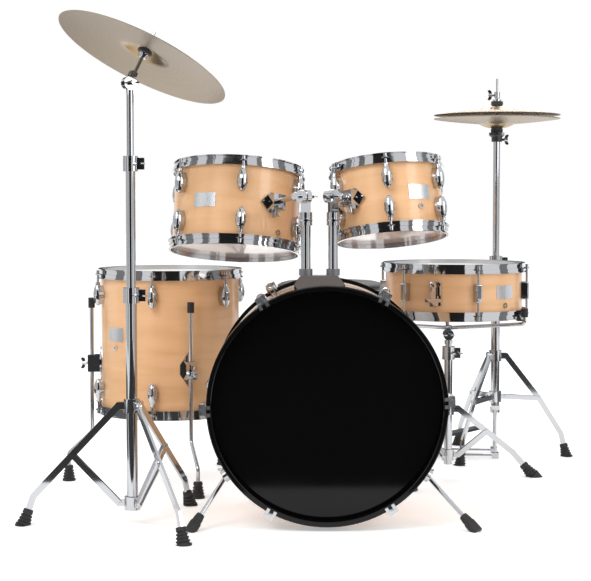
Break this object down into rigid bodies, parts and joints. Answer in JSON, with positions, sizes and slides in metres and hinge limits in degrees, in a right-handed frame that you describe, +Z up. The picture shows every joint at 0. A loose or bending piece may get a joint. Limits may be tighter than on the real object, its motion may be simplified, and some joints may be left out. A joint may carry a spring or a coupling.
{
  "type": "acoustic drum kit",
  "caption": "Acoustic drum kit with bass drum, mounted toms, floor tom, snare, crash and hi-hat cymbals on folding stands, bass pedal and throne.",
  "frame": {"origin": "centre of the kit's footprint on the floor", "axes": "+Z up, +Y towards the drummer, +X to the right seen from the audience"},
  "size_m": [1.425, 1.5286, 1.1411],
  "materials": {
    "maple": "clear satin lacquer over pale maple ply",
    "drum_film": "polyester film",
    "black_lacquer": "gloss black lacquer",
    "bronze": "brushed, pale bronze",
    "seat_vinyl": "grained black vinyl over foam",
    "board_metal": "black painted casting",
    "chrome": "bright chrome plate; black rubber feet, grips and felts are part of these nodes"
  },
  "bodies": {
    "root": {"bass_shell": "maple", "bass_heads": "drum_film", "bass_hoops": "black_lacquer", "bass_claws": "chrome", "bass_lugs": "chrome", "tom_holder": "chrome", "spur_brackets": "chrome", "floor_tom_shell": "maple", "floor_tom_heads": "drum_film", "floor_tom_hoops": "chrome", "floor_tom_lugs": "chrome", "floor_tom_leg_brackets": "chrome", "snare_stand_base": "chrome", "crash_base_tube": "chrome", "hihat_stand_base": "chrome", "throne_base": "chrome", "pedal_frame": "chrome"},
    "spur_left": {"spur_left": "chrome"},
    "spur_right": {"spur_right": "chrome"},
    "floor_tom_legs": {"floor_tom_legs": "chrome"},
    "tom_left_post": {"tom_left_post": "chrome"},
    "tom_right_post": {"tom_right_post": "chrome"},
    "tom_left": {"tom_left_shell": "maple", "tom_left_heads": "drum_film", "tom_left_hoops": "chrome", "tom_left_lugs": "chrome", "tom_left_bracket": "chrome"},
    "tom_right": {"tom_right_shell": "maple", "tom_right_heads": "drum_film", "tom_right_hoops": "chrome", "tom_right_lugs": "chrome", "tom_right_bracket": "chrome"},
    "snare_upper_tube": {"snare_upper_tube": "chrome"},
    "snare_drum": {"snare_basket": "chrome", "snare_shell": "maple", "snare_heads": "drum_film", "snare_hoops": "chrome", "snare_lugs": "chrome", "snare_strainer": "chrome"},
    "snare_lever": {"snare_throw_off_lever": "chrome"},
    "crash_collar": {"crash_leg_collar": "chrome"},
    "crash_leg_1": {"crash_leg_1": "chrome"},
    "crash_leg_2": {"crash_leg_2": "chrome"},
    "crash_leg_3": {"crash_leg_3": "chrome"},
    "crash_brace_1": {"crash_brace_1": "chrome"},
    "crash_brace_2": {"crash_brace_2": "chrome"},
    "crash_brace_3": {"crash_brace_3": "chrome"},
    "crash_middle_tube": {"crash_middle_tube": "chrome"},
    "crash_upper_tube": {"crash_upper_tube": "chrome"},
    "crash_tilter": {"crash_tilter": "chrome"},
    "crash_cymbal": {"crash_cymbal": "bronze"},
    "hihat_upper": {"hihat_upper_tube": "chrome", "hihat_bottom_cymbal": "bronze"},
    "hihat_pull": {"hihat_pull_rod": "chrome", "hihat_top_cymbal": "bronze"},
    "hihat_footboard": {"hihat_footboard": "board_metal"},
    "throne_post": {"throne_post": "chrome"},
    "throne_seat": {"throne_seat": "seat_vinyl"},
    "pedal_footboard": {"pedal_footboard": "board_metal"},
    "pedal_beater": {"pedal_beater": "chrome"}
  },
  "joints": [
    {"name": "spur_left_fold", "type": "hinge", "parent": "root", "child": "spur_left", "pos_m": [-0.23491, -0.53724, 0.1126], "axis": [-0.809, 0, -0.5878], "range_deg": [0, 100]},
    {"name": "spur_right_fold", "type": "hinge", "parent": "root", "child": "spur_right", "pos_m": [0.21491, -0.53724, 0.1126], "axis": [-0.809, 0, 0.5878], "range_deg": [0, 100]},
    {"name": "floor_tom_leg_slide", "type": "slide", "parent": "root", "child": "floor_tom_legs", "axis": [0, 0, 1], "range_m": [-0.06, 0.06]},
    {"name": "tom_left_height", "type": "slide", "parent": "root", "child": "tom_left_post", "axis": [0, 0, 1], "range_m": [-0.015, 0.07]},
    {"name": "tom_left_tilt", "type": "hinge", "parent": "tom_left_post", "child": "tom_left", "pos_m": [-0.0564, -0.43923, 0.739], "axis": [-0.8057, -0.5923, 0], "range_deg": [-15, 2]},
    {"name": "tom_right_height", "type": "slide", "parent": "root", "child": "tom_right_post", "axis": [0, 0, 1], "range_m": [-0.015, 0.07]},
    {"name": "tom_right_tilt", "type": "hinge", "parent": "tom_right_post", "child": "tom_right", "pos_m": [0.0064, -0.43923, 0.739], "axis": [-0.7335, 0.6796, 0], "range_deg": [-15, 8]},
    {"name": "snare_height", "type": "slide", "parent": "root", "child": "snare_upper_tube", "axis": [0, 0, 1], "range_m": [-0.005, 0.08]},
    {"name": "snare_tilt", "type": "hinge", "parent": "snare_upper_tube", "child": "snare_drum", "pos_m": [0.323, 0.06677, 0.377], "axis": [0, 1, 0], "range_deg": [-8, 8]},
    {"name": "snare_throw_off", "type": "hinge", "parent": "snare_drum", "child": "snare_lever", "pos_m": [0.26835, -0.11911, 0.517], "axis": [-0.342, -0.9397, 0], "range_deg": [0, 70]},
    {"name": "crash_stand_fold", "type": "slide", "parent": "root", "child": "crash_collar", "axis": [0, 0, 1], "range_m": [0, 0.07347]},
    {"name": "crash_leg_1_hinge", "type": "hinge", "parent": "crash_collar", "child": "crash_leg_1", "pos_m": [-0.43392, -0.51075, 0.27], "axis": [-0.8829, 0.4695, 0], "range_deg": [0, 29.27]},
    {"name": "crash_brace_1_hinge", "type": "hinge", "parent": "root", "child": "crash_brace_1", "pos_m": [-0.43392, -0.51075, 0.049], "axis": [-0.8829, 0.4695, 0], "range_deg": [-29.27, 0]},
    {"name": "crash_leg_2_hinge", "type": "hinge", "parent": "crash_collar", "child": "crash_leg_2", "pos_m": [-0.47798, -0.53828, 0.27], "axis": [0.0349, -0.9994, 0], "range_deg": [0, 29.27]},
    {"name": "crash_brace_2_hinge", "type": "hinge", "parent": "root", "child": "crash_brace_2", "pos_m": [-0.47798, -0.53828, 0.049], "axis": [0.0349, -0.9994, 0], "range_deg": [-29.27, 0]},
    {"name": "crash_leg_3_hinge", "type": "hinge", "parent": "crash_collar", "child": "crash_leg_3", "pos_m": [-0.4321, -0.56268, 0.27], "axis": [0.848, 0.5299, 0], "range_deg": [0, 29.27]},
    {"name": "crash_brace_3_hinge", "type": "hinge", "parent": "root", "child": "crash_brace_3", "pos_m": [-0.4321, -0.56268, 0.049], "axis": [0.848, 0.5299, 0], "range_deg": [-29.27, 0]},
    {"name": "crash_middle_height", "type": "slide", "parent": "root", "child": "crash_middle_tube", "axis": [0, 0, 1], "range_m": [-0.04, 0.08]},
    {"name": "crash_upper_height", "type": "slide", "parent": "crash_middle_tube", "child": "crash_upper_tube", "axis": [0, 0, 1], "range_m": [-0.04, 0.08]},
    {"name": "crash_tilt", "type": "hinge", "parent": "crash_upper_tube", "child": "crash_tilter", "pos_m": [-0.448, -0.53724, 0.991], "axis": [-0.4848, 0.8746, 0], "range_deg": [-26, 15]},
    {"name": "crash_spin", "type": "hinge", "parent": "crash_tilter", "child": "crash_cymbal", "pos_m": [-0.41234, -0.51747, 1.06899], "axis": [0.4052, 0.2246, 0.8862], "continuous": true},
    {"name": "hihat_height", "type": "slide", "parent": "root", "child": "hihat_upper", "axis": [0, 0, 1], "range_m": [0, 0.06]},
    {"name": "hihat_pedal", "type": "hinge", "parent": "root", "child": "hihat_footboard", "pos_m": [0.2021, 0.43804, 0.022], "axis": [0.0872, 0.9962, 0], "range_deg": [0, 1.7], "stiffness_Nm_per_rad": 14, "springref_deg": -31.51},
    {"name": "hihat_pull", "type": "slide", "parent": "hihat_upper", "child": "hihat_pull", "axis": [0, 0, 1], "range_m": [-0.0083, 0]},
    {"name": "throne_height", "type": "slide", "parent": "root", "child": "throne_post", "axis": [0, 0, 1], "range_m": [-0.03, 0.09]},
    {"name": "throne_spin", "type": "hinge", "parent": "throne_post", "child": "throne_seat", "pos_m": [0.023, 0.54876, 0.412], "axis": [0, 0, 1], "continuous": true},
    {"name": "bass_pedal", "type": "hinge", "parent": "root", "child": "pedal_footboard", "pos_m": [-0.01, 0.12576, 0.018], "axis": [1, 0, 0], "range_deg": [0, 9], "stiffness_Nm_per_rad": 2.5, "springref_deg": -28.65},
    {"name": "beater_swing", "type": "hinge", "parent": "root", "child": "pedal_beater", "pos_m": [-0.01, -0.16923, 0.15], "axis": [1, 0, 0], "range_deg": [0, 54.1]}
  ],
  "couplings": [
    {"joint": "crash_leg_1_hinge", "follows": "crash_stand_fold", "rad_per_m": 6.9516},
    {"joint": "crash_brace_1_hinge", "follows": "crash_stand_fold", "rad_per_m": -6.9516},
    {"joint": "crash_leg_2_hinge", "follows": "crash_stand_fold", "rad_per_m": 6.9516},
    {"joint": "crash_brace_2_hinge", "follows": "crash_stand_fold", "rad_per_m": -6.9516},
    {"joint": "crash_leg_3_hinge", "follows": "crash_stand_fold", "rad_per_m": 6.9516},
    {"joint": "crash_brace_3_hinge", "follows": "crash_stand_fold", "rad_per_m": -6.9516},
    {"joint": "hihat_pull", "follows": "hihat_pedal", "m_per_rad": -0.276},
    {"joint": "beater_swing", "follows": "bass_pedal", "ratio": 6}
  ]
}
